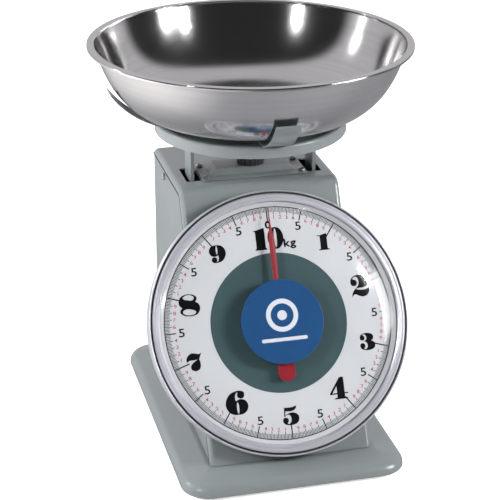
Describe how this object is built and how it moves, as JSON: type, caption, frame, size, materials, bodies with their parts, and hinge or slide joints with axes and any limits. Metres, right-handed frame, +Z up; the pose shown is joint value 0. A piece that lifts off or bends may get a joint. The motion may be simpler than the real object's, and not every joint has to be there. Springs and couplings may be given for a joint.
{
  "type": "mechanical dial platform scale",
  "caption": "Spring platform scale: sloping case on a stamped base, large round dial with turning pointer, pan seat on posts and a lift-off steel bowl.",
  "frame": {"origin": "on the supporting surface, under the centre of the whole scale's box", "axes": "+Z up, -Y the dial side, +X to the right of a reader who faces the dial"},
  "size_m": [0.2806, 0.3145, 0.3453],
  "materials": {
    "case_paint": "gloss grey-green enamel",
    "rubber": "matt black",
    "zinc_steel": "zinc plated, satin",
    "brass": "turned",
    "spring_steel": "oiled spring wire",
    "dial_white": "white printed plate",
    "bright_ring": "polished",
    "clear_window": "clear moulded cover",
    "blue_badge": "gloss, plain",
    "red_pointer": "gloss red",
    "stainless": "spun and polished stainless",
    "black_knob": "black, fluted"
  },
  "bodies": {
    "base": {"base_pan": "case_paint", "front_cover": "case_paint", "side_panel_left": "case_paint", "side_panel_right": "case_paint", "rear_cover": "case_paint", "spring_cover_plate": "case_paint", "dial_drum": "case_paint", "dial_plate": "dial_white", "bezel_ring": "bright_ring", "window": "clear_window", "window_badge": "blue_badge", "main_frame": "zinc_steel", "gear_bracket": "zinc_steel", "shaft_bush_front": "brass", "shaft_bush_rear": "brass", "rack_guide": "brass", "main_spring_left": "spring_steel", "main_spring_right": "spring_steel", "upper_link_pin": "zinc_steel", "lower_link_pin": "zinc_steel", "rubber_foot_1": "rubber", "rear_screw_1": "zinc_steel", "cover_plate_screw_1": "zinc_steel", "rubber_foot_2": "rubber", "rear_screw_2": "zinc_steel", "cover_plate_screw_2": "zinc_steel", "rubber_foot_3": "rubber", "rear_screw_3": "zinc_steel", "cover_plate_screw_3": "zinc_steel", "rubber_foot_4": "rubber", "rear_screw_4": "zinc_steel", "cover_plate_screw_4": "zinc_steel", "side_screw_left_top": "zinc_steel", "side_screw_left_rear": "zinc_steel", "frame_bolt_left": "zinc_steel", "side_screw_right_top": "zinc_steel", "side_screw_right_rear": "zinc_steel", "frame_bolt_right": "zinc_steel", "drum_screw_top": "zinc_steel", "drum_screw_bottom": "zinc_steel"},
    "platform": {"platform_ring": "case_paint", "bowl_cradle": "case_paint", "platform_post_left": "case_paint", "platform_post_right": "case_paint", "load_crossbar": "zinc_steel", "rack_drive_arm": "zinc_steel", "rack_drive_pin": "zinc_steel"},
    "bowl": {"weighing_bowl": "stainless"},
    "upper_link": {"upper_guide_link": "zinc_steel"},
    "lower_link": {"lower_guide_link": "zinc_steel"},
    "rack": {"rack": "brass"},
    "pointer": {"pointer": "red_pointer", "pointer_hub": "brass", "pinion_shaft": "zinc_steel"},
    "zero_knob": {"zero_adjust_knob": "black_knob"},
    "hanger": {"hanger_beam": "zinc_steel", "spring_hanger_left": "zinc_steel", "spring_hanger_right": "zinc_steel", "calibration_nut_left": "zinc_steel", "calibration_nut_right": "zinc_steel"}
  },
  "joints": [
    {"name": "platform_slide", "type": "slide", "parent": "base", "child": "platform", "axis": [0, 0, -1], "range_m": [0, 0.01934], "stiffness_N_per_m": 5073, "springref_m": -0.00278, "deforming": ["main_spring_left", "main_spring_right"]},
    {"name": "upper_link_turn", "type": "hinge", "parent": "base", "child": "upper_link", "pos_m": [0, 0.077, 0.14], "axis": [1, 0, 0], "range_deg": [0, 18.32]},
    {"name": "lower_link_turn", "type": "hinge", "parent": "base", "child": "lower_link", "pos_m": [0, 0.077, 0.06], "axis": [1, 0, 0], "range_deg": [0, 18.32]},
    {"name": "rack_slide", "type": "slide", "parent": "base", "child": "rack", "axis": [0, -0.4762, -0.8793], "range_m": [0, 0.022]},
    {"name": "pointer_turn", "type": "hinge", "parent": "base", "child": "pointer", "pos_m": [0, -0.0843, 0.1242], "axis": [0, 0.8793, -0.4762], "range_deg": [0, 360.1]},
    {"name": "bowl_lift", "type": "slide", "parent": "platform", "child": "bowl", "axis": [0, 0, 1], "range_m": [0, 0.1]},
    {"name": "zero_knob_turn", "type": "hinge", "parent": "base", "child": "zero_knob", "pos_m": [0, 0.017, 0.234], "axis": [0, 0, 1], "range_deg": [-540, 540]},
    {"name": "hanger_lift", "type": "slide", "parent": "base", "child": "hanger", "axis": [0, 0, 1], "range_m": [-0.0015, 0.0015]}
  ],
  "couplings": [
    {"joint": "upper_link_turn", "follows": "platform_slide", "rad_per_m": 16.525},
    {"joint": "lower_link_turn", "follows": "platform_slide", "rad_per_m": 16.525},
    {"joint": "rack_slide", "follows": "platform_slide", "ratio": 1.1373},
    {"joint": "pointer_turn", "follows": "platform_slide", "rad_per_m": 324.93},
    {"joint": "zero_knob_turn", "follows": "hanger_lift", "rad_per_m": -6283}
  ]
}
